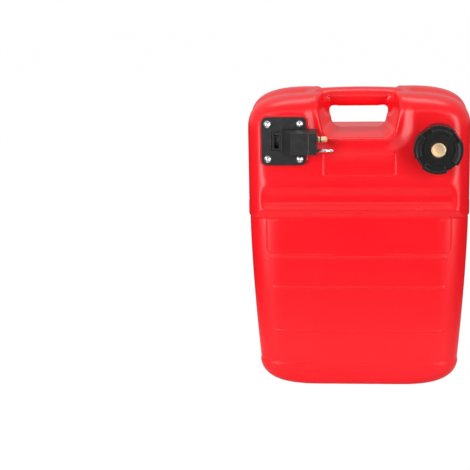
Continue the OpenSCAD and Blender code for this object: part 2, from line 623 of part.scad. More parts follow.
// One unbroken wire from the shoulder to the poppet. Its turns stay clear of each other.
spring_turns = 8;
spring_wire = 0.3;
spring_r = passage_r - 0.75;
spring_steps = 10;
spring_len = poppet_at - spring_at - 2 * spring_wire - 0.2;
spring_gap = spring_len / spring_turns - 2 * spring_wire;
echo(least_gap_in_spring = spring_gap);
module nipple_spring() color("#b9bcc0") at_nipple() translate([0, 0, spring_at + spring_wire + 0.1])
  loft([for (i = [0:spring_turns * spring_steps]) let (a = 360 * i / spring_steps,
    z = spring_len * i / (spring_turns * spring_steps))
    [for (k = [5:-1:0]) let (t = 360 * k / 6) [(spring_r + spring_wire * cos(t)) * cos(a),
      (spring_r + spring_wire * cos(t)) * sin(a), z + spring_wire * sin(t)]]]);

module locating_pin() color("#dcdcdc") along_x(port_x + block_end, bore_out, port_z - pin_dz) difference() {
  union() {
    translate([0, 0, -shank_l]) cylinder(r = pin_r - 0.4, h = shank_l + 1, $fn = 48);
    cylinder(r = pin_r, h = pin_l - 2.5, $fn = 48);
    translate([0, 0, pin_l - 2.5]) cylinder(r1 = pin_r, r2 = 0.6, h = 2.5, $fn = 48);
  }
  translate([0, 0, pin_l - 10]) tube(pin_r + 2, pin_r - 0.45, 1.8);
}

// ---- float gauge ----

bracket_t = 1.2;
ear_gap = drum_w / 2 + 2.2;           // from the drum's middle to an ear's inner side
bracket_screw_r = 1.2;
bracket_screw_z = drum_r + 4.2;
bracket_half_h = bracket_screw_z + 2.2;
tab_w = 7;                            // width of the bracket's two screw tabs
ear_half_h = 6;

module bracket_places() for (s = [-1, 1]) translate([slot_x, slot_z + s * bracket_screw_z, 0]) children();

module at_pivot() translate([port_x + slot_x, -face - drum_axis, port_z + slot_z]) rotate([0, 90, 0]) children();

module float_bracket() color("#a9adb2") difference() {
  on_front(port_x, port_z) difference() {
    translate([slot_x, slot_z, 0]) union() {
      translate([-ear_gap - bracket_t, -drum_r - 2, spigot_at - bracket_t])
        cube([2 * (ear_gap + bracket_t), 2 * drum_r + 4, bracket_t]);
      translate([-tab_w / 2, -bracket_half_h, spigot_at - bracket_t]) cube([tab_w, 2 * bracket_half_h, bracket_t]);
      for (s = [-1, 1]) translate([s * (ear_gap + bracket_t / 2) - bracket_t / 2, -ear_half_h, drum_axis - 5])
        cube([bracket_t, 2 * ear_half_h, spigot_at - drum_axis + 5]);
    }
    translate([slot_x - drum_w / 2 - 1.5, slot_z - drum_r - 1, spigot_at - 5]) cube([drum_w + 3, 2 * drum_r + 2, 8]);
    bracket_places() translate([0, 0, spigot_at - 5]) cylinder(r = bracket_screw_r + 0.2, h = 10, $fn = 32);
  }
  at_pivot() translate([0, 0, -20]) cylinder(r = pivot_r + fixed_fit, h = 40, $fn = 32);
}

module bracket_screws() color("#c4c6c9") on_front(port_x, port_z) bracket_places() {
  translate([0, 0, spigot_at - bracket_t - 1.6]) cylinder(r = 2.3, h = 1.6, $fn = 32);
  translate([0, 0, spigot_at - bracket_t - 0.5]) cylinder(r = bracket_screw_r, h = 5.5, $fn = 32);
}

module pivot_pin() color("#c9ccd0") at_pivot() union() {
  translate([0, 0, -ear_gap - bracket_t - 1]) cylinder(r = pivot_r, h = 2 * (ear_gap + bracket_t + 1), $fn = 32);
  for (s = [-1, 1]) translate([0, 0, s * (ear_gap + bracket_t + 1) - 0.4])
    cylinder(r = pivot_r + 0.8, h = 0.8, $fn = 32);
}

// Points its children along the arm, from the pivot.
module along_arm() translate([port_x + slot_x, -face - drum_axis, port_z + slot_z])
  rotate([180 + arm_angle, 0, 0]) children();

arm_start = drum_r - 5;
clip_t = 2;
module gauge_drum() color("#e8e4dc") difference() {
  at_pivot() translate([0, 0, -drum_w / 2]) cylinder(r = drum_r, h = drum_w, $fn = 64);
  at_pivot() translate([0, 0, -drum_w]) cylinder(r = pivot_r + run_fit, h = 2 * drum_w, $fn = 32);
  along_arm() translate([0, 0, arm_start]) cylinder(r = arm_r + fixed_fit, h = drum_r, $fn = 32);
}

module float_arm() color("#b4b7bb") along_arm() translate([0, 0, arm_start + 0.2])
  cylinder(r = arm_r, h = arm_l + float_r + clip_t + 3 - arm_start, $fn = 32);

module float() color("#3a3632") difference() {
  along_arm() translate([-float_l / 2, 0, arm_l]) rotate([0, 90, 0]) {
    translate([0, 0, 2]) cylinder(r = float_r, h = float_l - 4, $fn = 64);
    cylinder(r1 = float_r - 2, r2 = float_r, h = 2, $fn = 64);
    translate([0, 0, float_l - 2]) cylinder(r1 = float_r, r2 = float_r - 2, h = 2, $fn = 64);
  }
  along_arm() cylinder(r = arm_r + fixed_fit, h = arm_l * 2, $fn = 32);
}

module float_clips() color("#c9ccd0") along_arm() for (z = [arm_l - float_r - clip_t, arm_l + float_r])
  translate([0, 0, z]) tube(4, arm_r + fixed_fit, clip_t);

// ---- fuel pick-up ----

tube_top = spigot_at + 1;
strainer_l = 18;
strainer_r = tube_r + 2.5;
tube_end = -face - half_t + dish_depth + wall + 3 + tube_gap;

module pickup_tube() color("#3b3b3d") on_front(port_x, port_z) translate([tube_x, nipple_dz, tube_end + 2])
  tube(tube_r, tube_r - tube_wall, tube_top - tube_end - 2);

module pickup_strainer() color("#d7cfa8") on_front(port_x, port_z) translate([tube_x, nipple_dz, tube_end])
  difference() {
    cylinder(r = strainer_r, h = strainer_l, $fn = 64);
    translate([0, 0, 2]) cylinder(r = tube_r + fixed_fit, h = strainer_l, $fn = 64);
    for (k = [0:2]) rotate([0, 0, k * 60]) translate([-strainer_r - 1, -1, 3])
      cube([2 * strainer_r + 2, 2, strainer_l - 9]);
  }

tank_shell();
filler_cap();
filler_gasket();
vent_screw();
vent_seal();
gauge_flange();
flange_gasket();
flange_screws();
screw_inserts();
fuel_nipple();
nipple_seal();
nipple_poppet();
nipple_spring();
locating_pin();
gauge_lens();
float_bracket();
bracket_screws();
pivot_pin();
gauge_drum();
float_arm();
float();
float_clips();
pickup_tube();
pickup_strainer();
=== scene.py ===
import math

import bmesh
import bpy
import numpy as np
from mathutils import Matrix, Vector


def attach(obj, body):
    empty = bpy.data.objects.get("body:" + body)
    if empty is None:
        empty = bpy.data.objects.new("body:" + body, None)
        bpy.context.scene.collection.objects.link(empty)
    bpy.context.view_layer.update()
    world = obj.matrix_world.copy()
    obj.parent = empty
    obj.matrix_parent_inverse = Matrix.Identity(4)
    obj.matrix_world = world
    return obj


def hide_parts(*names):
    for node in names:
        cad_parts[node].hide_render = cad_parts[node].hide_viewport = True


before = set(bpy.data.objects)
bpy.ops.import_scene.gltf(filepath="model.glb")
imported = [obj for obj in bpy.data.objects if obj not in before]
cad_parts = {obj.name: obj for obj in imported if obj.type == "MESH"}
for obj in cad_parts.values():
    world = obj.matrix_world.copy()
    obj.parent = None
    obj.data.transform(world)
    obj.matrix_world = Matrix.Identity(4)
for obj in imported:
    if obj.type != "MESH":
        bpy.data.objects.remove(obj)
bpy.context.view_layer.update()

MM = 0.001
WHITE = (1.0, 1.0, 1.0)
scene = bpy.context.scene


# ---------------------------------------------------------------- shader trees

class Tree:
    """Adds nodes to one shader tree and wires them."""

    def __init__(self, tree):
        self.tree = tree

    def put(self, socket, value):
        """Links another node's output to the socket, or sets the socket's own value."""
        if isinstance(value, bpy.types.NodeSocket):
            self.tree.links.new(value, socket)
        elif socket.type == "RGBA":
            socket.default_value = (*value, 1.0)
        else:
            socket.default_value = value

    def node(self, kind, out=0, **inputs):
        """An output of a new node. In an input's name an underscore stands for a space."""
        n = self.tree.nodes.new(kind)
        for k, v in inputs.items():
            self.put(n.inputs[k.replace("_", " ")], v)
        return n.outputs[out]

    def row(self, kind, *values, **props):
        """The outputs of a new node whose first inputs are filled in order."""
        n = self.tree.nodes.new(kind)
        for k, v in props.items():
            setattr(n, k, v)
        for socket, value in zip(n.inputs, values):
            self.put(socket, value)
        return n.outputs

    def calc(self, operation, a, b=0.0):
        return self.row("ShaderNodeMath", a, b, operation=operation)[0]

    def ramp(self, value, lo, hi, a, b, kind="LINEAR"):
        return self.row("ShaderNodeMapRange", value, lo, hi, a, b, interpolation_type=kind)[0]

    def split(self, vector):
        return self.row("ShaderNodeSeparateXYZ", vector)

    def mix_shader(self, factor, a, b):
        return self.row("ShaderNodeMixShader", factor, a, b)[0]

    def mix(self, factor, a, b):
        """A colour between a and b. The colour sockets of this node have fixed numbers."""
        n = self.tree.nodes.new("ShaderNodeMix")
        n.data_type = "RGBA"
        self.put(n.inputs[0], factor)
        self.put(n.inputs[6], a)
        self.put(n.inputs[7], b)
        return n.outputs[2]


class Material(Tree):
    """A procedural material, mapped by the object's own coordinates in metres."""

    def __init__(self, name):
        self.mat = bpy.data.materials.new(name)
        self.mat.use_nodes = True
        super().__init__(self.mat.node_tree)
        self.bsdf = self.tree.nodes["Principled BSDF"]
        self.coord = self.node("ShaderNodeTexCoord", "Object")

    def set(self, **inputs):
        for k, v in inputs.items():
            self.put(self.bsdf.inputs[k.replace("_", " ")], v)

    def noise(self, scale, detail=3.0, rough=0.5, vector=None):
        return self.node("ShaderNodeTexNoise", Vector=vector or self.coord, Scale=scale,
                         Detail=detail, Roughness=rough)

    def bumped(self, height, strength, distance):
        """Adds the bump, which is always a material's last step."""
        self.set(Normal=self.node("ShaderNodeBump", Height=height, Strength=strength,
                                  Distance=distance))
        return self.mat


# ---------------------------------------------------------------- materials

def shell_plastic():
    """Red polyethylene: a broad change of tone, a fine grain and faint upright scuffs."""
    deep, bright, scuffed = (0.93, 0.0035, 0.0105), (0.96, 0.0055, 0.0135), (0.97, 0.05, 0.06)
    m = Material("red_moulded_plastic")
    soft = m.noise(9.0, 2.0)
    grain = m.noise(1400.0, 3.0, 0.6)
    upright = m.node("ShaderNodeMapping", Vector=m.coord, Scale=(1.0, 1.0, 0.25))
    scuff = m.noise(220.0, 4.0, 0.65, upright)
    tone = m.mix(m.ramp(soft, 0.35, 0.65, 0.0, 1.0), deep, bright)
    tone = m.mix(m.ramp(scuff, 0.60, 0.82, 0.0, 0.10), tone, scuffed)
    m.set(Base_Color=tone, Roughness=m.ramp(scuff, 0.3, 0.8, 0.29, 0.38))
    return m.bumped(m.calc("ADD", grain, m.calc("MULTIPLY", soft, 3.0)), 0.12, 0.0004)


def black_plastic(name, base, rough):
    """Black plastic of the given grey and roughness, with a little dust."""
    clean, dusty = (base, base, base * 1.06), (base * 2.2, base * 2.2, base * 2.3)
    m = Material(name)
    grain = m.noise(2200.0, 2.0, 0.6)
    dust = m.noise(140.0, 5.0, 0.7)
    m.set(Base_Color=m.mix(m.ramp(dust, 0.45, 0.8, 0.0, 0.5), clean, dusty),
          Roughness=m.ramp(dust, 0.3, 0.8, rough, rough * 1.4))
    return m.bumped(grain, 0.16, 0.0003)


def rubber():
    m = Material("black_rubber")
    n = m.noise(900.0, 4.0, 0.6)
    m.set(Base_Color=m.mix(n, (0.010, 0.010, 0.010), (0.026, 0.026, 0.026)),
          Roughness=m.ramp(n, 0.2, 0.8, 0.65, 0.85), Specular_IOR_Level=0.35)
    return m.bumped(n, 0.15, 0.0002)


def metal(name, a, b, rough):
    """A metal whose colour drifts from a to b, with a roughness that varies about rough."""
    m = Material(name)
    n = m.noise(700.0, 3.0, 0.6)
    broad = m.noise(60.0, 2.0)
    m.set(Base_Color=m.mix(m.ramp(broad, 0.35, 0.65, 0.0, 1.0), a, b), Metallic=1.0,
          Roughness=m.ramp(n, 0.2, 0.8, rough * 0.75, rough * 1.3))
    return m.bumped(n, 0.08, 0.0001)


def pale_plastic():
    m = Material("pale_plastic")
    n = m.noise(500.0)
    m.set(Base_Color=m.mix(n, (0.62, 0.57, 0.45), (0.72, 0.68, 0.58)),
          Roughness=m.ramp(n, 0.2, 0.8, 0.4, 0.55))
    return m.bumped(n, 0.08, 0.0002)


def foam():
    m = Material("closed_cell_foam")
    cells = m.node("ShaderNodeTexVoronoi", Vector=m.coord, Scale=900.0)
    m.set(Base_Color=m.mix(cells, (0.020, 0.017, 0.015), (0.075, 0.065, 0.058)),
          Roughness=0.85, Specular_IOR_Level=0.25)
    return m.bumped(cells, 0.5, 0.0004)


def clear_plastic():
    m = Material("clear_window")
    m.set(Base_Color=(0.82, 0.85, 0.88), Roughness=m.ramp(m.noise(300.0), 0.3, 0.8, 0.06, 0.14),
          IOR=1.49, Transmission_Weight=1.0, Alpha=0.5)
    return m.mat


def drum_paint():
    """A dark drum with a pale line across it, which moves down the window as the tank empties."""
    axis_y, axis_z, line_angle = -0.0717, 0.4328, 0.72
    m = Material("indicator_drum")
    _, y, z = m.split(m.coord)
    ahead, above = m.calc("SUBTRACT", axis_y, y), m.calc("SUBTRACT", z, axis_z)
    angle = m.calc("ARCTAN2", above, ahead)
    off = m.calc("ABSOLUTE", m.calc("SUBTRACT", angle, line_angle))
    line = m.ramp(off, 0.045, 0.06, 1.0, 0.0)
    n = m.noise(800.0)
    dark = m.mix(n, (0.014, 0.014, 0.016), (0.03, 0.03, 0.034))
    m.set(Base_Color=m.mix(line, dark, (0.75, 0.72, 0.66)),
          Roughness=m.ramp(n, 0.2, 0.8, 0.4, 0.55))
    return m.bumped(n, 0.06, 0.0002)


RED = shell_plastic()
DRUM = drum_paint()
BLACK = black_plastic("black_moulded_plastic", 0.014, 0.40)
CAP_BLACK = black_plastic("black_cap_plastic", 0.006, 0.32)
RUBBER = rubber()
BRASS = metal("brass", (1.0, 0.70, 0.40), (1.0, 0.77, 0.49), 0.48)
STEEL = metal("bright_plated_steel", (0.80, 0.80, 0.82), (0.92, 0.92, 0.93), 0.26)
DULL_STEEL = metal("stamped_steel", (0.48, 0.49, 0.50), (0.60, 0.60, 0.61), 0.38)
PALE = pale_plastic()
FOAM = foam()
CLEAR = clear_plastic()

NODE_MATERIALS = {
    "tank_shell": RED, "filler_cap": CAP_BLACK, "filler_gasket": RUBBER, "vent_screw": BRASS,
    "vent_seal": RUBBER, "gauge_flange": BLACK, "flange_gasket": RUBBER, "flange_screws": STEEL,
    "screw_inserts": BRASS, "fuel_nipple": BRASS, "nipple_seal": RUBBER, "nipple_poppet": STEEL,
    "nipple_spring": STEEL, "locating_pin": STEEL, "gauge_lens": CLEAR,
    "float_bracket": DULL_STEEL, "bracket_screws": STEEL, "pivot_pin": STEEL, "gauge_drum": DRUM,
    "float_arm": STEEL, "float": FOAM, "float_clips": DULL_STEEL, "pickup_tube": BLACK,
    "pickup_strainer": PALE,
}
for name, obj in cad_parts.items():
    obj.data.materials.clear()
    obj.data.materials.append(NODE_MATERIALS[name])


# ---------------------------------------------------------------- helpers of the forms
# A form is a function of x, y and z in millimetres. It is below zero inside the solid, and near
# the surface it is about the distance to it.

def smooth(v):
    v = np.clip(v, 0.0, 1.0)
    return v * v * (3.0 - 2.0 * v)


def ease(v, start, over):
    """0 at start and 1 where v is over further on. A negative over runs the other way."""
    return smooth((v - start) / over)


def bell(v, at, width):
    return np.exp(-((v - at) / width) ** 2)


def arch(v):
    """1 at v = 0, falling as a cosine to 0 at v = 1."""
    return 0.5 + 0.5 * np.cos(np.pi * np.clip(v, 0.0, 1.0))


def oval(p, q, power):
    """1 on the superellipse that passes through p = 1 and q = 1."""
    return (p ** power + q ** power) ** (1.0 / power)


def smax(a, b, k):
    """The greater of a and b, with the edge between them rounded over about k."""
    h = np.clip(0.5 + 0.5 * (a - b) / k, 0.0, 1.0)
    return b + (a - b) * h + k * h * (1.0 - h) * 0.5


def smin(a, b, k):
    return -smax(-a, -b, k)


def round_rect(a, b, r):
    """a and b are distances past two straight sides, and r rounds the corner between them."""
    p, q = a + r, b + r
    beyond = np.hypot(np.maximum(p, 0.0), np.maximum(q, 0.0))
    return np.minimum(np.maximum(p, q), 0.0) + beyond - r


def slab(h, lo, hi):
    return np.maximum(lo - h, h - hi)


# ---------------------------------------------------------------- the tank's form

HALF_W, HALF_T, BODY_H = 185.0, 85.0, 508.0     # half the width, half the depth, the height
FACE = 85.5                                     # the plane the flange and the neck stand on
LIP, WAIST, BAND = 305.0, 331.0, 41.0           # heights: the lip, the hollow over it, the foot
TOP, DROP, CORNER = 503.0, 62.0, 115.0          # the shoulders: height, how far they fall, width
STRIP, ROLL, TROUGH = 38.0, 34.0, 34.0          # the edge: half its flat, its roll, half its trough
HOLE_FLOOR = 440.0
WALL, BORE, REACH = 5.0, 28.0, 60.0             # REACH: how far from the middle the bores go back
NECK, PORT = (129.0, 421.0), (-123.0, 431.5)    # x and z
DEEP = 68.0                                     # a depth that no edge reaches
RIBS = ((230.5, 148.0), (177.5, 145.0), (99.5, 142.0))      # height and half the length
RIB, GROOVE, FRAME_LINE, RING_LINE = 1.5, 1.0, 0.55, 0.7    # how far the lines stand out or in


def upper(x, y, z):
    """The body above the lip. Its edge is flat across the middle, with a trough that deepens over
    the shoulders, and rolls over to the faces."""
    ax, ay, front = np.abs(x), np.abs(y), (y < 0).astype(float)
    u, v = np.maximum(0.0, ax - (HALF_W - CORNER)), np.maximum(0.0, z - (TOP - DROP))
    rho = oval(u / CORNER, v / DROP, 2.95)
    inward = np.where(rho < 0.05, DEEP, np.hypot(u, v) * (1.0 / np.maximum(rho, 0.05) - 1.0))
    trough = 5.0 * ease(ax, 78.0, 18.0) * ease(z, 425.0, 40.0)
    trough = (trough + 0.7) * arch(ay / TROUGH) ** 1.3
    # between the neck and the port the face sinks towards the hand hole, and less right below it
    dish = 8.0 * ease(round_rect(ax - 94.0, 411.0 - z, 46.0), 0.0, -26.0)
    below = 3.0 * ease(z, 394.0, 28.0) - 1.8 * ease(z, 422.0, 15.0)
    dish = below + (dish - below) * ease(ax, 36.0, 34.0)
    # in front a hollow runs round the waist, with a low crest over it
    crest = 1.2 * bell(z, 359.0, 11.0) * front
    flank = np.where(z > WAIST, 26.0, 27.0)
    hollow = 4.8 * arch(np.abs(z - WAIST) / flank) * front
    depth = HALF_T - dish - (hollow - crest) * ease(ax, HALF_W - 19.0, -16.0)
    p = np.maximum(0.0, 1.0 - (inward - trough) / ROLL)
    q = np.maximum(0.0, (ay - STRIP) / (depth - STRIP))
    return (oval(p, q, 2.3) - 1.0) * 38.0


def hand_hole(x, y, z):
    """The opening under the handle. It widens and its floor falls towards both faces."""
    t = np.clip(np.abs(y) / 76.0, 0.0, 1.25)
    sill = HOLE_FLOOR - 5.0 * t
    w = 43.5 + 14.5 * t + (0.18 + 0.03 * t) * (z - sill)
    return round_rect((np.abs(x) - w) * 0.975, sill - z, 14.0)


def bar(x, y, z):
    """The handle's bar. Its ends swell a little and sink into the shoulders."""
    ax = np.abs(x)
    sink = 9.0 * ease(ax, 68.0, 18.0)
    swell = ease(ax, 47.0, 8.0)
    top = BODY_H - 1.5 * (np.minimum(ax, 70.0) / 57.0) ** 2 - sink
    low = BODY_H - 31.4 - 0.8 * swell - sink
    middle, half = (top + low) / 2, (top - low) / 2
    r = oval(np.abs(y) / (20.0 + 2.2 * swell), np.abs(z - middle) / half, 2.4)
    return np.maximum((r - 1.0) * 16.0, ax - 86.0)


def front_lines(ax, z):
    """Ribs on the lower front, and a groove that falls from the lip and turns in over them."""
    out = np.zeros_like(z)
    for height, half in RIBS:
        out = np.maximum(out, RIB * bell(z, height, 1.35) * ease(ax, half, -2.5))
    turned = round_rect(ax - 154.0, RIBS[0][0] + 5.5 - z, 9.0)
    return out - GROOVE * bell(turned, 0.0, 0.9) * ease(ax, 20.0, 60.0) * (z < LIP)


def lower(x, y, z):
    """The body below the lip. It narrows to a band round the foot, whose edge is rounded."""
    corner_x, corner_y = 62.0, 40.0
    ax, ay = np.abs(x), np.abs(y)
    c = np.clip((LIP - z) / (LIP - BAND), 0.0, 1.0)
    w, t = 183.6 - 14.6 * c ** 1.6, 79.0 - 8.0 * c
    k = 1.0 - np.sqrt(1.0 - (1.0 - np.clip(z / BAND, 0.0, 1.0)) ** 2)
    band = ease(z, BAND + 1.1, -2.2)
    w, t = w + band * (0.9 - 50.0 * k), t + band * (2.2 - 14.5 * k)
    t = t + front_lines(ax, z) * (y < 0)
    p = np.maximum(0.0, (ax - (w - corner_x)) / corner_x)
    q = np.maximum(0.0, (ay - (t - corner_y)) / corner_y)
    return np.maximum(smax((oval(p, q, 2.5) - 1.0) * 36.0, -z, 1.2), z - 322.0)


def marks(x, z):
    """The frame of the bare label panel under the handle, and the small mould mark."""
    edge = np.abs(round_rect(np.abs(x - 1.5) - 59.5, np.abs(z - 390.5) - 18.0, 2.5))
    ring = np.hypot(x - 99.0, z - 315.0)
    return FRAME_LINE * bell(edge, 0.0, 0.75) + RING_LINE * bell(ring, 3.6, 0.8)


def solid(x, y, z):
    """The moulding as if it were filled, with the low pad that carries the flange."""
    under = LIP + 9.0 - z - 1.7 * np.clip(HALF_T - np.abs(y), 0.0, 8.0)
    f = smax(upper(x, y, z) - marks(x, z) * (y < 0), under, 5.0)
    f = smax(f, -hand_hole(x, y, z), 9.0)
    f = smin(f, bar(x, y, z), 4.0 + 14.0 * ease(z, 500.0, -12.0))
    f = smin(f, lower(x, y, z), 7.0)
    pad = round_rect(np.abs(x - PORT[0]) - 39.0, np.abs(z - PORT[1]) - 42.0, 11.0)
    pad = smax(pad, -(y + FACE), 0.8)
    f = smin(f, np.maximum(pad, y + REACH), 2.0)
    sides = np.maximum(np.abs(x) - HALF_W, np.maximum(y - HALF_T, np.maximum(-z, z - BODY_H)))
    return np.maximum(f, sides + 0.02)


def bore(x, y, z, centre):
    return np.maximum(np.hypot(x - centre[0], z - centre[1]) - BORE, y + REACH)


def inner(x, y, z):
    """The space inside, with its two ways out: the filler neck and the port."""
    f = smax(upper(x, y, z), LIP + 7.0 - z, 4.0)
    f = smax(f, -hand_hole(x, y, z), 8.0)
    f = np.minimum(f, lower(x, y, z)) + WALL
    return np.minimum(f, np.minimum(bore(x, y, z, NECK), bore(x, y, z, PORT)))


def field(x, y, z):
    return np.maximum(solid(x, y, z), -inner(x, y, z))


# ---------------------------------------------------------------- a mesh of a form

def spread(lo, hi, base, fine=()):
    """Coordinates from lo to hi, base apart, or closer within each (start, end, step)."""
    out = [lo]
    while out[-1] < hi:
        c = out[-1]
        out.append(c + min([base] + [s for a, b, s in fine if a - base <= c < b]))
    return np.array(out)


def mirrored(half):
    return np.concatenate([-half[::-1], half])


def nets(fn, xs, ys, zs):
    """Surface nets: a vertex in each cell that the surface passes, a quad round each cut edge."""
    values = np.empty((len(xs), len(ys), len(zs)), np.float32)
    flat = np.zeros((len(ys), len(zs)))
    for i, xv in enumerate(xs):
        values[i] = fn(flat + xv, flat + ys[:, None], flat + zs[None, :])
    inside = values < 0
    cells = tuple(n - 1 for n in values.shape)
    count = np.zeros(cells, np.uint8)
    corners = [(i, j, k) for i in (0, 1) for j in (0, 1) for k in (0, 1)]
    for c in corners:
        count += inside[tuple(slice(first, first + n) for first, n in zip(c, cells))]
    active = (count > 0) & (count < 8)
    index = np.full(cells, -1, np.int64)
    index[active] = np.arange(active.sum())
    found = np.nonzero(active)

    def corner(c):
        """The value and the place of this corner of every active cell."""
        i, j, k = (cell + first for cell, first in zip(found, c))
        return values[i, j, k], np.stack([xs[i], ys[j], zs[k]], 1)

    total, hits = np.zeros((len(found[0]), 3)), np.zeros(len(found[0]))
    for a in corners:
        for axis in range(3):
            if a[axis]:
                continue
            va, pa = corner(a)
            vb, pb = corner(tuple(v + (n == axis) for n, v in enumerate(a)))
            cross = (va < 0) != (vb < 0)
            t = np.where(cross, va / np.where(cross, va - vb, 1.0), 0.0)
            total += np.where(cross[:, None], pa + t[:, None] * (pb - pa), 0.0)
            hits += cross
    quads = []
    for axis in range(3):
        u, v = (axis + 1) % 3, (axis + 2) % 3
        near = [slice(1, n - 1) for n in values.shape]
        near[axis] = slice(0, values.shape[axis] - 1)
        far = list(near)
        far[axis] = slice(1, values.shape[axis])
        a, b = inside[tuple(near)], inside[tuple(far)]
        edges = np.argwhere(a != b)
        edges[:, [u, v]] += 1
        around = []
        for du, dv in ((-1, -1), (0, -1), (0, 0), (-1, 0)):
            cell = edges.copy()
            cell[:, u] += du
            cell[:, v] += dv
            around.append(index[tuple(cell.T)])
        around = np.stack(around, 1)
        quads.append(np.where(a[a != b][:, None], around, around[:, ::-1]))
    return total / hits[:, None], np.concatenate(quads)


def slope(fn, p, span):
    """The form's gradient at the points, from its values span before and after each of them."""
    g = np.empty_like(p)
    for axis in range(3):
        d = np.zeros(3)
        d[axis] = span
        g[:, axis] = (fn(*(p + d).T) - fn(*(p - d).T)) / (2 * span)
    return g


def settle(fn, p, rounds, limit):
    """Moves the points onto the surface, by no more than limit in each round."""
    for _ in range(rounds):
        g = slope(fn, p, 0.05)
        step = (fn(*p.T) / np.maximum((g * g).sum(1), 0.05))[:, None] * g
        size = np.linalg.norm(step, axis=1, keepdims=True)
        p = p - step * np.minimum(1.0, limit / np.maximum(size, 1e-9))
    return p


def surface(fn, xs, ys, zs, rounds=5, limit=0.25, span=0.02):
    """Points, quads and normals of a form on the grid of xs, ys and zs."""
    points, quads = nets(fn, xs, ys, zs)
    points = settle(fn, points, rounds, limit)
    g = slope(fn, points, span)
    return points, quads, g / np.maximum(np.linalg.norm(g, axis=1, keepdims=True), 1e-9)


def mesh_from(name, points, faces, material, normals=None, place=Matrix()):
    """An object from points in millimetres. place takes it from its own axes to the frame's."""
    faces = np.asarray(faces)
    me = bpy.data.meshes.new(name)
    me.vertices.add(len(points))
    me.vertices.foreach_set("co", (np.asarray(points) * MM).astype(np.float32).ravel())
    me.loops.add(faces.size)
    me.loops.foreach_set("vertex_index", faces.astype(np.int32).ravel())
    me.polygons.add(len(faces))
    me.polygons.foreach_set("loop_start",
                            np.arange(0, faces.size, faces.shape[1], dtype=np.int32))
    me.update(calc_edges=True)
    me.validate()
    me.polygons.foreach_set("use_smooth", np.ones(len(me.polygons), bool))
    me.transform(place)
    if normals is not None:
        turned = normals @ np.array(place.to_3x3()).T
        me.normals_split_custom_set_from_vertices(turned.tolist())
    me.materials.append(material)
    obj = bpy.data.objects.new(name, me)
    scene.collection.objects.link(obj)
    return obj


def finish_piece(obj, node, body):
    """Hides the CAD node that the piece stands in for, if there is one, and gives the piece its
    body. node is the CAD node that it stands in for.
    """
    if node:
        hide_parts(node)
    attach(obj, body)


def on_front(at):
    """Local +Z points out of the tank's front and local +Y is up, about x and z in at."""
    out = Matrix.Rotation(math.pi / 2, 4, "X")
    return Matrix.Translation((at[0] * MM, -FACE * MM, at[1] * MM)) @ out


def lathe(name, profile, material, steps, place=Matrix()):
    """A closed profile of (radius, height) points, turned about local Z."""
    points, faces, n = [], [], len(profile)
    for i in range(steps):
        a = 2 * math.pi * i / steps
        points += [(r * math.cos(a), r * math.sin(a), h) for r, h in profile]
    for i in range(steps):
        j = (i + 1) % steps
        for k in range(n):
            m = (k + 1) % n
            faces.append((i * n + k, j * n + k, j * n + m, i * n + m))
    obj = mesh_from(name, points, faces, material)
    bm = bmesh.new()
    bm.from_mesh(obj.data)
    bmesh.ops.remove_doubles(bm, verts=bm.verts, dist=1e-6)
    bmesh.ops.recalc_face_normals(bm, faces=bm.faces)
    bm.to_mesh(obj.data)
    bm.free()
    obj.data.transform(place)
    return obj


# ---------------------------------------------------------------- the shell and its neck
# The grid is fine where a line, an edge or a roll of the form needs it.

base = 2.6
xs = mirrored(spread(0.6, 188.0, base, [
    (36, 78, 1.7), (95, 103, 1.0), (152.2, 155.8, 0.6), (160, 187, 1.9), (57, 60.5, 0.6)]))
ys = mirrored(spread(0.6, 88.0, base, [(0, 36, 2.2), (66, 88, 1.5)]))
zs = spread(-2.0, 511.0, base, [
    (-2, 36, 1.8), (36, 38.4, 0.4), (96, 103, 0.6), (174, 181, 0.6), (227, 247, 0.6),
    (298, 319, 0.7), (372, 376.5, 0.6), (412.5, 417.5, 0.6), (430, 446, 1.5), (470, 510, 1.5)])
points, quads, normals = surface(field, xs, ys, zs, rounds=4, limit=0.8, span=0.05)
finish_piece(mesh_from("tank_body", points, quads, RED, normals), "tank_shell", "tank")

NECK_R, NECK_TOP = 33.0, 20.0
neck = lathe("filler_neck", [
    (BORE, -14.0), (BORE, NECK_TOP - 0.6), (28.6, NECK_TOP), (32.2, NECK_TOP), (NECK_R, 19.2),
    (NECK_R, 4.4), (33.4, 3.4), (37.2, 3.0), (38.0, 2.2), (38.0, -3.0)], RED, 128, on_front(NECK))
finish_piece(neck, None, "tank")


def thread(name, r, depth, turns, start, material):
    """A thread on radius r that begins at the height start. One with a negative depth points
    inwards, and has its faces turned round."""
    pitch, width, segs, root = 6.0, 3.0, 72, 0.5
    points, faces, n = [], [], int(round(segs * turns))
    for i in range(n + 1):
        a, z = 2 * math.pi * i / segs, start + pitch * i / segs
        k = float(smooth(min(i, n - i) / 9.0 + 0.12))
        d = r + depth * k
        w0, w1 = width / 2 + 0.2, width * 0.3
        low = [(r - root, w0), (r + 0.1, w0 * 0.94), (d - 0.3 * k, w1 * 1.15), (d, w1 * 0.7)]
        ring = [(q, z - w) for q, w in low] + [(q, z + w) for q, w in reversed(low)]
        points += [(q * math.cos(a), q * math.sin(a), h) for q, h in ring]
    m = len(ring)
    for i in range(n):
        for j in range(m):
            k = (j + 1) % m
            faces.append((i * m + j, i * m + k, (i + 1) * m + k, (i + 1) * m + j))
    if depth < 0:
        faces = [f[::-1] for f in faces]
    return mesh_from(name, points, faces, material, None, on_front(NECK))


finish_piece(thread("neck_thread", NECK_R, 2.0, 1.5, 6.5, RED), None, "tank")


# ---------------------------------------------------------------- the cap and the vent screw

CEILING, DISC_TOP, CAP_EDGE = 22.5, 27.0, 33.0      # heights over the tank's face
CAP_R, CAP_BORE, GRIP_R = 37.7, 35.6, 40.3
LUG_AT, LUG_HALF = 80.0, 31.0                       # degrees


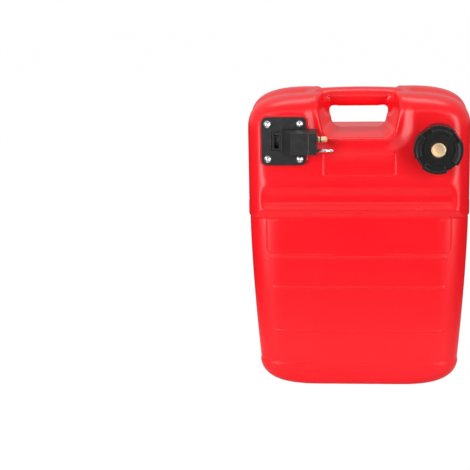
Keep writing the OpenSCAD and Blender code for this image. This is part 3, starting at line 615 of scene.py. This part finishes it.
def cap_form(x, y, h):
    """A threaded skirt, a sunk disc with a boss for the vent, and four fluted grip lugs."""
    r, angle = np.hypot(x, y), np.degrees(np.arctan2(y, x)) - LUG_AT
    off = np.abs((angle + 45.0) % 90.0 - 45.0)
    side = (off - LUG_HALF) * np.pi / 180.0 * r
    flute = 0.35 * (0.5 + 0.5 * np.cos(np.radians(angle) * 60.0)) ** 2 * ease(off, 28.0, -2.0)
    wall = smax(smax(r - CAP_R, CAP_BORE - r, 0.6), slab(h, 4.0, CAP_EDGE - 2.0), 0.9)
    disc = smax(r - 36.8, slab(h, CEILING, DISC_TOP + 0.6 * ease(r, 13.5, 2.5)), 0.8)
    top = CAP_EDGE - 1.0 * bell(r, 34.2, 1.1) - 0.6 * ease(r, 34.2, -1.5)
    rim = r - GRIP_R + flute
    lug = smax(smax(rim, 28.5 - r, 1.0), np.maximum(CEILING + 1.0 - h, h - top), 1.2)
    grip = smax(smax(rim, 36.5 - r, 0.8), np.maximum(7.0 - h, h - CAP_EDGE + 3.0), 1.2)
    lugs = smax(smin(lug, grip, 0.8), side, 1.8)
    f = smin(smin(wall, disc, 1.2), lugs, 1.6)
    boss = smax(r - 11.0, slab(h, CEILING - 9.5, CEILING + 1.0), 0.8)
    return np.maximum(smin(f, boss, 1.0), 4.06 - r)


step = 0.62
across = mirrored(spread(step / 2, 42.0, step))
points, quads, normals = surface(cap_form, across, across, spread(3.0, 35.0, step * 0.9))
cap = mesh_from("screw_cap", points, quads, CAP_BLACK, normals, on_front(NECK))
finish_piece(cap, "filler_cap", "cap")
inner_thread = thread("cap_thread", CAP_BORE, -1.9, 1.25, 9.5, CAP_BLACK)
finish_piece(inner_thread, None, "cap")

# the vent screw: a knurled brass disc, faintly dished, on its stem
VENT_R, STEM_R, TEETH, TOOTH = 12.0, 4.0, 54, 0.035
vent = lathe("vent_disc", [
    (0.0, 33.75), (3.0, 33.8), (8.6, 34.15), (9.6, 34.45), (11.1, 34.5), (11.9, 33.9),
    (VENT_R, 33.5), (VENT_R, 29.6), (11.6, 28.7), (11.0, 28.5), (STEM_R, 28.5), (STEM_R, 10.4),
    (3.6, 10.0), (0.0, 10.0)], BRASS, 216)
for v in vent.data.vertices:
    r, h = math.hypot(v.co.x, v.co.y) / MM, v.co.z / MM
    if r > VENT_R - 0.5 and 29.0 < h < 34.2:
        k = 1.0 - TOOTH * (0.5 + 0.5 * math.cos(math.atan2(v.co.y, v.co.x) * TEETH))
        v.co.x *= k
        v.co.y *= k
vent.data.transform(on_front(NECK))
finish_piece(vent, "vent_screw", "vent")


# ---------------------------------------------------------------- the gauge flange and its fittings

SCREW_X, SCREW_Y = 26.5, 29.0                       # half the spacing of the screws
PLATE, HOUSING = 6.0, 32.5                          # heights of the plate and of the housing
NIPPLE_Y, PIN_Y, AXIS_H = 5.7, -13.2, 18.455        # AXIS_H: the height of both
BLOCK_FACE, HOLE_DEEP, SOCKET_X, WINDOW_Y = 55.0, 12.0, 11.0, 1.3


def flange_form(x, y, h):
    """The plate, the sloping housing with its connector block, and the window's recess."""
    rise_h = HOUSING - PLATE
    plate = round_rect(np.abs(x) - 37.0, np.abs(y) - 40.0, 9.0)
    plate = smax(plate, slab(h, 2.0, PLATE), 1.3)
    rise = PLATE + rise_h * np.clip((x + 3.0) / 16.0, 0.0, 1.0)
    draft = 3.0 * np.clip((h - PLATE) / rise_h, 0.0, 1.0)
    block = smax(np.abs(y) - 21.0 + draft, x - BLOCK_FACE, 1.5)
    block = smax(block, (h - rise) * np.where(x < 13.0, 0.52, 1.0), 1.5)
    block = smax(smax(block, h - HOUSING, 1.2), 5.0 - h, 0.6)
    block = np.maximum(block, -3.4 - x) + 0.35 * bell(x, 41.0, 0.5)
    f = smin(plate, block, 1.6)
    to_socket = np.hypot(x - SOCKET_X, y - NIPPLE_Y)
    spigot = smax(np.hypot(x, y) - 27.0, slab(h, -8.0, 3.0), 0.6)
    socket = smax(to_socket - 7.0, slab(h, -20.0, 3.0), 0.6)
    f = np.minimum(f, np.minimum(spigot, socket))
    for sx in (-1, 1):
        for sy in (-1, 1):
            r = np.hypot(x - sx * SCREW_X, y - sy * SCREW_Y)
            f = smax(f, -np.maximum(r - 7.0, PLATE - h), 0.5)
            f = np.maximum(f, 3.3 - r)
    wy = np.abs(y - WINDOW_Y)
    recess = np.maximum(round_rect(np.abs(x + 13.4) - 7.3, wy - 16.2, 1.6), 4.3 - h)
    slot = round_rect(np.abs(x + 11.8) - 3.6, wy - 13.0, 1.0)
    chamber = np.maximum(np.maximum(np.abs(x + 11.4) - 6.5, wy - 16.0), h - 3.5)
    f = smax(f, -recess, 0.7)
    f = np.maximum(f, -np.maximum(slot, -h))
    f = np.maximum(f, -chamber)
    # the tube's bore goes up from the socket's end, and two holes go in from the block's face
    f = np.maximum(f, 5.05 - to_socket - np.where(h > -15.0, 20.0, 0.0))
    for at, r in ((NIPPLE_Y, 4.0), (PIN_Y, 1.95)):
        hole = np.maximum(np.hypot(y - at, h - AXIS_H) - r, BLOCK_FACE - HOLE_DEEP - x)
        f = np.maximum(f, -hole)
    return f


step = 0.66
points, quads, normals = surface(flange_form, spread(-38.2, 56.5, step), spread(-41.2, 41.5, step),
                                 spread(-20.6, 34.0, 3.0, [(-9, 34, step * 0.95)]))
flange = mesh_from("gauge_housing", points, quads, BLACK, normals, on_front(PORT))
finish_piece(flange, "gauge_flange", "tank")


def screw_form(x, y, h):
    """One screw: a domed head with a cross recess, on a plain shank."""
    head_r, dome_top, slot_half, slot_reach = 6.0, 10.5, 0.85, 3.3
    r = np.hypot(x, y)
    dome = dome_top - 2.7 * (r / head_r) ** 2.2 - 0.25 * bell(r, 0.0, 1.0)
    head = smax(smax(r - head_r, h - dome, 0.7), PLATE + 0.02 - h, 0.2)
    shank = smax(r - 2.95, slab(h, -10.0, 7.0), 0.3)
    depth = 7.7 + 0.35 * r
    a, b = np.abs((x + y) * 0.7071), np.abs((x - y) * 0.7071)
    cross = np.minimum(np.maximum(a - slot_half, b - slot_reach),
                       np.maximum(b - slot_half, a - slot_reach))
    return smax(np.minimum(head, shank), -np.maximum(cross, depth - h), 0.35)


# the four screws are one mesh, each turned as it was left by the screwdriver
step = 0.3
across = mirrored(spread(step / 2, 6.6, step))
heights = spread(-10.4, 11.0, 2.2, [(5.6, 11.0, step * 0.9)])
points, quads, normals = surface(screw_form, across, across, heights, limit=0.2, span=0.01)
all_points, all_quads, all_normals = [], [], []
for k, (sx, sy, turn) in enumerate(((-1, -1, 0.5), (1, -1, -0.35), (-1, 1, 0.15), (1, 1, 0.9))):
    c, s = math.cos(turn), math.sin(turn)
    rot = np.array([[c, -s, 0], [s, c, 0], [0, 0, 1.0]])
    all_points.append(points @ rot.T + [sx * SCREW_X, sy * SCREW_Y, 0])
    all_normals.append(normals @ rot.T)
    all_quads.append(quads + k * len(points))
screws = mesh_from("pan_head_screws", np.concatenate(all_points), np.concatenate(all_quads),
                   STEEL, np.concatenate(all_normals), on_front(PORT))
finish_piece(screws, "flange_screws", "tank")


def along_x(y):
    """Local +Z points along X, out of the connector block's face, y above the port's middle."""
    x = PORT[0] + BLOCK_FACE
    out = Matrix.Rotation(math.pi / 2, 4, "Y")
    return Matrix.Translation((x * MM, -(FACE + AXIS_H) * MM, (PORT[1] + y) * MM)) @ out


nipple = lathe("brass_nipple", [
    (1.8, 16.9), (2.2, 17.0), (3.45, 17.0), (4.3, 15.9), (4.65, 15.3), (4.65, 7.0), (4.4, 6.7),
    (3.5, 6.6), (3.45, 5.1), (4.4, 5.0), (4.65, 4.7), (4.65, 0.1), (3.9, 0.0), (3.9, -11.8),
    (3.0, -12.0), (1.6, -12.0), (1.6, -4.0), (2.6, -4.0), (2.6, 15.9), (1.9, 16.0)],
    BRASS, 64, along_x(NIPPLE_Y))
finish_piece(nipple, "fuel_nipple", "tank")
pin = lathe("steel_pin", [
    (0.0, 27.4), (0.5, 27.3), (0.9, 26.9), (2.2, 25.1), (2.3, 24.7), (2.3, 19.3), (1.95, 19.0),
    (1.85, 18.3), (1.95, 17.6), (2.3, 17.3), (2.3, 0.1), (1.85, 0.0), (1.85, -12.0),
    (0.0, -12.0)], STEEL, 48, along_x(PIN_Y))
finish_piece(pin, "locating_pin", "tank")


# ---------------------------------------------------------------- camera, light and floor

PHOTO, FOCAL, SHIFT = 470.0, 1500.0, 124.0      # in the photo's pixels: side, lens, turn left
TILT, DISTANCE, AIM = math.radians(14.0), 2.511, Vector((0.0006, -0.085, 0.2716))
SENSOR = 36.0


def camera():
    """A long lens that looks 14 degrees down, turned left so the tank stands at the right."""
    fwd = Vector((0.0, math.cos(TILT), -math.sin(TILT)))
    up = Vector((0.0, math.sin(TILT), math.cos(TILT)))
    right = Vector((1.0, 0.0, 0.0))
    turn = math.atan(SHIFT / FOCAL)
    ahead = fwd * math.cos(turn) - right * math.sin(turn)
    aside = right * math.cos(turn) + fwd * math.sin(turn)
    cam = bpy.data.objects.new("camera", bpy.data.cameras.new("camera"))
    cam.data.sensor_width = SENSOR
    cam.data.lens = FOCAL * SENSOR / PHOTO
    cam.data.clip_end = 50.0
    m = Matrix((aside, up, -ahead)).transposed().to_4x4()
    m.translation = AIM - fwd * DISTANCE
    cam.matrix_world = m
    scene.collection.objects.link(cam)
    scene.camera = cam


def area(name, loc, target, size, power):
    light = bpy.data.lights.new(name, "AREA")
    light.shape, light.size, light.size_y = "RECTANGLE", size[0], size[1]
    light.energy = power
    obj = bpy.data.objects.new(name, light)
    obj.location = loc
    obj.rotation_mode = "QUATERNION"
    obj.rotation_quaternion = (Vector(target) - Vector(loc)).to_track_quat("-Z", "Y")
    scene.collection.objects.link(obj)


TENT_BASE, SIDE_LEFT, SIDE_RIGHT, TENT_TOP = 0.08, 0.48, 0.42, 0.34


def tent_world():
    """White to the camera. The tank stands in a dim tent: grey at the sides, behind and above,
    and nearly dark low down behind the camera, which keeps the front's reflections down."""
    world = bpy.data.worlds.new("studio")
    world.use_nodes = True
    world.node_tree.nodes.clear()
    t = Tree(world.node_tree)
    x, y, z = t.split(t.node("ShaderNodeTexCoord", "Generated"))
    level = t.calc("SUBTRACT", 1.0, t.calc("MULTIPLY", z, z))
    level = t.calc("SQRT", t.calc("MAXIMUM", level, 1e-4))
    to_camera = t.calc("DIVIDE", t.calc("MULTIPLY", y, -1.0), level)
    aside = t.ramp(to_camera, 0.35, 0.88, 1.0, 0.0, "SMOOTHSTEP")
    side = t.ramp(x, -0.5, 0.5, SIDE_LEFT, SIDE_RIGHT, "SMOOTHSTEP")
    above = t.ramp(z, 0.16, 0.62, 0.0, 1.0, "SMOOTHSTEP")
    brightest = t.calc("MAXIMUM", t.calc("MULTIPLY", aside, side),
                       t.calc("MULTIPLY", above, TENT_TOP))
    lit = t.row("ShaderNodeBackground", WHITE, t.calc("ADD", TENT_BASE, brightest))[0]
    seen = t.row("ShaderNodeBackground", WHITE, 1.0)[0]
    out = t.tree.nodes.new("ShaderNodeOutputWorld")
    by_camera = t.node("ShaderNodeLightPath", "Is Camera Ray")
    t.put(out.inputs["Surface"], t.mix_shader(by_camera, lit, seen))
    scene.world = world


FLOOR_HALF, TABLE_R, DARK_R = 6.0, 0.28, 0.62       # metres
GLOW, SHARE = 1.04, 0.94


def floor():
    """A pale floor, which the camera sees as almost pure white. To the tank only a round table
    is pale, and beyond it the floor is dark."""
    m = Material("pale_floor")
    m.set(Base_Color=m.mix(m.noise(3.0, 2.0), (0.62, 0.62, 0.62), (0.66, 0.66, 0.66)),
          Roughness=0.9, Specular_IOR_Level=0.1)
    by_camera = m.node("ShaderNodeLightPath", "Is Camera Ray")
    apart = m.row("ShaderNodeVectorMath", m.coord, operation="LENGTH")[1]
    dark = m.calc("MULTIPLY", m.ramp(apart, TABLE_R, DARK_R, 0.0, 1.0),
                  m.calc("SUBTRACT", 1.0, by_camera))
    shade = m.mix_shader(dark, m.bsdf.outputs[0],
                         m.node("ShaderNodeBsdfDiffuse", Color=(0.06, 0.06, 0.06)))
    glow = m.node("ShaderNodeEmission", Color=WHITE, Strength=GLOW)
    seen = m.mix_shader(m.calc("MULTIPLY", by_camera, SHARE), shade, glow)
    m.put(m.tree.nodes["Material Output"].inputs["Surface"], seen)
    bm = bmesh.new()
    bmesh.ops.create_grid(bm, x_segments=8, y_segments=8, size=FLOOR_HALF)
    me = bpy.data.meshes.new("floor")
    bm.to_mesh(me)
    bm.free()
    me.materials.append(m.mat)
    obj = bpy.data.objects.new("floor", me)
    scene.collection.objects.link(obj)


camera()
tent_world()
floor()
area("softbox_left", (-0.68, -0.76, 0.44), (0, 0, 0.27), (0.30, 0.84), 6.6)
area("softbox_right", (0.68, -0.76, 0.44), (0, 0, 0.27), (0.28, 0.84), 5.0)
area("softbox_front", (0.0, -1.70, 0.98), (0, 0, 0.30), (1.40, 0.50), 2.8)
area("softbox_over", (0.0, 0.40, 1.90), (0, 0, 0.45), (1.40, 0.40), 9.0)
scene.view_settings.view_transform = "Standard"
